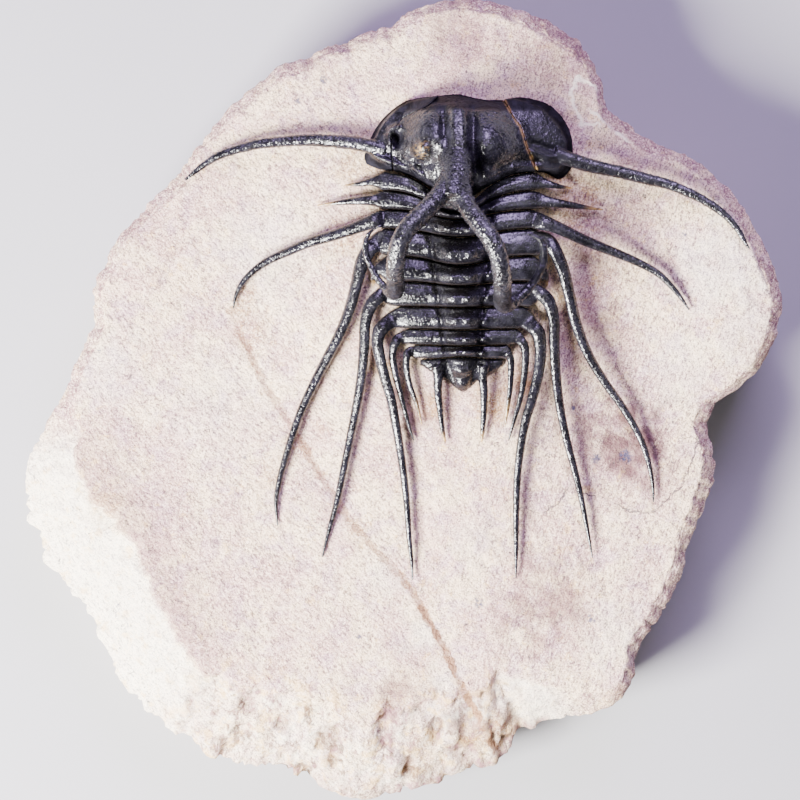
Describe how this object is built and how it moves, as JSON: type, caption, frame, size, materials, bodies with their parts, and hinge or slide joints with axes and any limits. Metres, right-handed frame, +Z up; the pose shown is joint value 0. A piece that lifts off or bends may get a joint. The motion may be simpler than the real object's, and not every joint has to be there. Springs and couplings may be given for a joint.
{
  "type": "dicranurus trilobite fossil",
  "caption": "Spiny trilobite prepared in relief on a rough limestone slab, lying on its flat back, with curled horns over the body and long swept spines.",
  "frame": {"origin": "middle of the slab's flat underside, under the centre of its outline", "axes": "+X to the animal's right as seen from above, +Y towards its head, +Z up out of the slab, away from the flat underside"},
  "size_m": [0.143, 0.1516, 0.0477],
  "materials": {
    "limestone": "dull, pale pinkish cream limestone with fine tool marks, rough whiter breaks along its edges, tan and yellow stains",
    "shell": "near-black fossil shell with a satin to glossy polish, a faint violet sheen and fine granules"
  },
  "bodies": {
    "root": {"limestone_matrix": "limestone", "cranidium_with_horns": "shell", "left_cheek": "shell", "right_cheek": "shell", "thorax_segment_1": "shell", "thorax_segment_2": "shell", "thorax_segment_3": "shell", "thorax_segment_4": "shell", "thorax_segment_5": "shell", "thorax_segment_6": "shell", "thorax_segment_7": "shell", "thorax_segment_8": "shell", "thorax_segment_9": "shell", "pygidium": "shell"}
  },
  "joints": []
}
